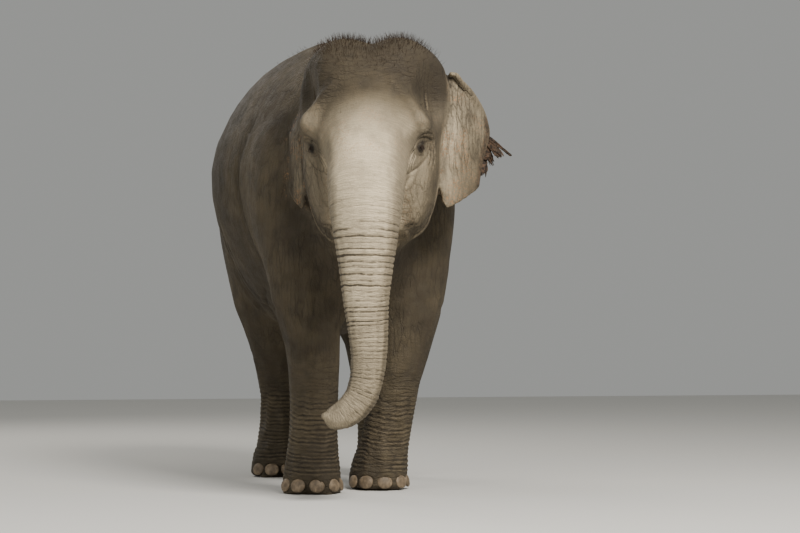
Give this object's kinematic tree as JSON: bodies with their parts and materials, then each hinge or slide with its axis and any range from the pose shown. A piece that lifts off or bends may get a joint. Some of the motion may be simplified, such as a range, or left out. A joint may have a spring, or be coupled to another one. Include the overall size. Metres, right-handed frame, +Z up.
{
  "type": "asian elephant",
  "caption": "Life-size Asian elephant cow standing in mid-stride, head turned to its right, ears back, trunk hanging and curled at the tip.",
  "frame": {"origin": "on the floor under the middle of the animal's box", "axes": "+Z up, nose towards -Y and tail towards +Y, the animal's left side towards +X"},
  "size_m": [1.3914, 3.032, 2.4565],
  "materials": {
    "skin": "matt grey-brown hide, finely wrinkled",
    "trunk_skin": "matt paler hide with deep rings across the trunk",
    "eye": "wet, dark brown",
    "hair": "stiff dark bristles",
    "toenail": "dull horn"
  },
  "bodies": {
    "root": {"head": "skin", "lower_jaw": "skin", "eye_right": "eye", "eye_left": "eye", "trunk_upper": "trunk_skin", "trunk_middle": "trunk_skin", "trunk_lower": "trunk_skin", "trunk_tip": "trunk_skin", "nail_front_right_1": "toenail", "nail_front_right_2": "toenail", "nail_front_right_3": "toenail", "nail_front_right_4": "toenail", "nail_front_right_5": "toenail", "leg_front_right": "skin", "nail_front_left_1": "toenail", "nail_front_left_2": "toenail", "nail_front_left_3": "toenail", "nail_front_left_4": "toenail", "nail_front_left_5": "toenail", "leg_front_left": "skin", "nail_hind_right_1": "toenail", "nail_hind_right_2": "toenail", "nail_hind_right_3": "toenail", "nail_hind_right_4": "toenail", "leg_hind_right": "skin", "nail_hind_left_1": "toenail", "nail_hind_left_2": "toenail", "nail_hind_left_3": "toenail", "nail_hind_left_4": "toenail", "leg_hind_left": "skin", "neck": "skin", "torso": "skin", "tail_upper": "skin", "tail_lower": "hair", "ear_right": "skin", "ear_left": "skin"}
  },
  "joints": []
}
